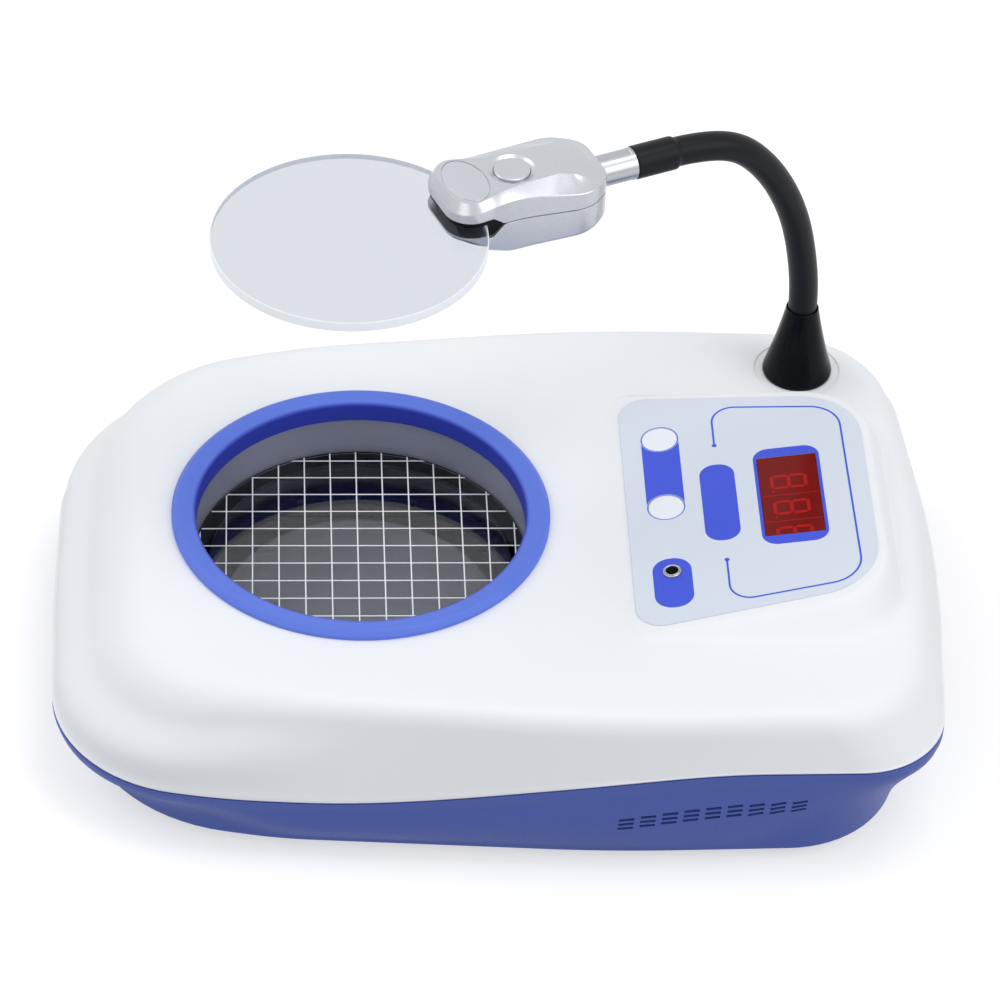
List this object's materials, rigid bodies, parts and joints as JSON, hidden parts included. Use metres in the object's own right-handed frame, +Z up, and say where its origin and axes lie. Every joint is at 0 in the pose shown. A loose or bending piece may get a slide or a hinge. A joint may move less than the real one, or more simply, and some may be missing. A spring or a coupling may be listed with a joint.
{
  "type": "digital colony counter",
  "caption": "Bench colony counter: a lit dish well with a counting grid, a sloping panel with keys and display, and a lens on a gooseneck.",
  "frame": {"origin": "on the table, under the centre of the housing's outline", "axes": "+X to the user's right, +Y to the rear, +Z up"},
  "size_m": [0.2368, 0.336, 0.2078],
  "materials": {
    "cover_white": "smooth moulded white plastic",
    "base_blue": "fine-textured blue plastic",
    "ring_blue": "satin blue plastic",
    "well_grey": "satin grey plastic",
    "glass_clear": "polished clear glass",
    "print_white": "screen-printed white ink",
    "chamber_dark": "matt dark plastic",
    "disc_grey": "matt grey sheet",
    "board": "solder-masked circuit board",
    "diode": "clear cast resin",
    "panel_sheet": "printed membrane sheet",
    "key_white": "domed membrane key",
    "window_red": "clear red filter",
    "module_dark": "dark display blocks",
    "black_plastic": "matt black plastic",
    "neck_rubber": "smooth black rubber sleeve",
    "cone_black": "polished black plastic",
    "head_silver": "silver painted plastic",
    "inlay_grey": "polished grey plastic",
    "chrome": "satin chrome plate",
    "steel": "zinc-plated steel",
    "core": "lacquered winding and core",
    "foot_rubber": "soft pale rubber"
  },
  "bodies": {
    "base": {"base_tray": "base_blue", "rubber_feet": "foot_rubber", "top_cover": "cover_white", "cover_screws": "steel", "dish_ring": "ring_blue", "well_cup": "well_grey", "grid_glass": "glass_clear", "grid_print": "print_white", "lamp_chamber": "chamber_dark", "lamp_strip": "board", "lamp_diodes": "diode", "background_disc": "disc_grey", "control_panel": "panel_sheet", "display_window": "window_red", "display_module": "module_dark", "control_board": "board", "key_switches": "black_plastic", "probe_jack": "chrome", "jack_nut": "chrome", "board_screws": "steel", "power_inlet": "black_plastic", "switch_frame": "black_plastic", "supply_board": "board", "transformer": "core", "supply_screws": "steel", "neck_cone": "cone_black", "neck_nut": "steel"},
    "check_key": {"check_key": "key_white"},
    "reset_key": {"reset_key": "key_white"},
    "power_rocker": {"power_rocker": "black_plastic"},
    "neck_1": {"neck_1": "neck_rubber"},
    "neck_2": {"neck_2": "neck_rubber"},
    "neck_3": {"neck_3": "neck_rubber"},
    "neck_4": {"neck_4": "neck_rubber"},
    "neck_5": {"neck_5": "neck_rubber"},
    "neck_6": {"neck_6": "neck_rubber"},
    "neck_7": {"neck_7": "neck_rubber"},
    "head": {"neck_8": "neck_rubber", "ferrule": "chrome", "head_top": "head_silver", "head_lower": "head_silver", "head_inlay": "inlay_grey", "lens_gasket": "neck_rubber", "lens": "glass_clear", "head_light_board": "board", "head_diodes": "diode", "head_screws": "steel"},
    "head_button": {"head_button": "head_silver"}
  },
  "joints": [
    {"name": "check_press", "type": "slide", "parent": "base", "child": "check_key", "axis": [0, 0.1374, -0.9905], "range_m": [0, 0.0004], "stiffness_N_per_m": 500, "springref_m": -0.001},
    {"name": "reset_press", "type": "slide", "parent": "base", "child": "reset_key", "axis": [0, 0.1374, -0.9905], "range_m": [0, 0.0004], "stiffness_N_per_m": 500, "springref_m": -0.001},
    {"name": "power_toggle", "type": "hinge", "parent": "base", "child": "power_rocker", "pos_m": [-0.02, 0.14725, 0.026], "axis": [-1, 0, 0], "range_deg": [0, 24]},
    {"name": "neck_pitch_1", "type": "hinge", "parent": "base", "child": "neck_1", "pos_m": [-0.0865, 0.12095, 0.1036], "axis": [0.9205, 0.3907, 0], "range_deg": [-12, 4]},
    {"name": "neck_side_2", "type": "hinge", "parent": "neck_1", "child": "neck_2", "pos_m": [-0.08602, 0.11982, 0.12114], "axis": [-0.3869, 0.9115, 0.1392], "range_deg": [-9, 9]},
    {"name": "neck_pitch_3", "type": "hinge", "parent": "neck_2", "child": "neck_3", "pos_m": [-0.08477, 0.11687, 0.13844], "axis": [0.9205, 0.3907, 0], "range_deg": [-12, 4]},
    {"name": "neck_side_4", "type": "hinge", "parent": "neck_3", "child": "neck_4", "pos_m": [-0.0827, 0.112, 0.15521], "axis": [-0.3623, 0.8535, 0.3746], "range_deg": [-9, 9]},
    {"name": "neck_pitch_5", "type": "hinge", "parent": "neck_4", "child": "neck_5", "pos_m": [-0.07958, 0.10466, 0.17087], "axis": [0.9205, 0.3907, 0], "range_deg": [-12, 4]},
    {"name": "neck_side_6", "type": "hinge", "parent": "neck_5", "child": "neck_6", "pos_m": [-0.07531, 0.09459, 0.18462], "axis": [-0.2763, 0.6509, 0.7071], "range_deg": [-9, 9]},
    {"name": "neck_pitch_7", "type": "hinge", "parent": "neck_6", "child": "neck_7", "pos_m": [-0.06938, 0.08061, 0.19304], "axis": [0.9205, 0.3907, 0], "range_deg": [-12, 4]},
    {"name": "neck_side_8", "type": "hinge", "parent": "neck_7", "child": "head", "pos_m": [-0.06256, 0.06455, 0.19503], "axis": [0, 0, 1], "range_deg": [-9, 9]},
    {"name": "light_press", "type": "slide", "parent": "head", "child": "head_button", "axis": [0, 0, -1], "range_m": [0, 0.0012], "stiffness_N_per_m": 300, "springref_m": -0.002}
  ],
  "couplings": [
    {"joint": "neck_pitch_3", "follows": "neck_pitch_1", "ratio": 1},
    {"joint": "neck_side_4", "follows": "neck_side_2", "ratio": 1},
    {"joint": "neck_pitch_5", "follows": "neck_pitch_1", "ratio": 1},
    {"joint": "neck_side_6", "follows": "neck_side_2", "ratio": 1},
    {"joint": "neck_pitch_7", "follows": "neck_pitch_1", "ratio": 1},
    {"joint": "neck_side_8", "follows": "neck_side_2", "ratio": 1}
  ]
}
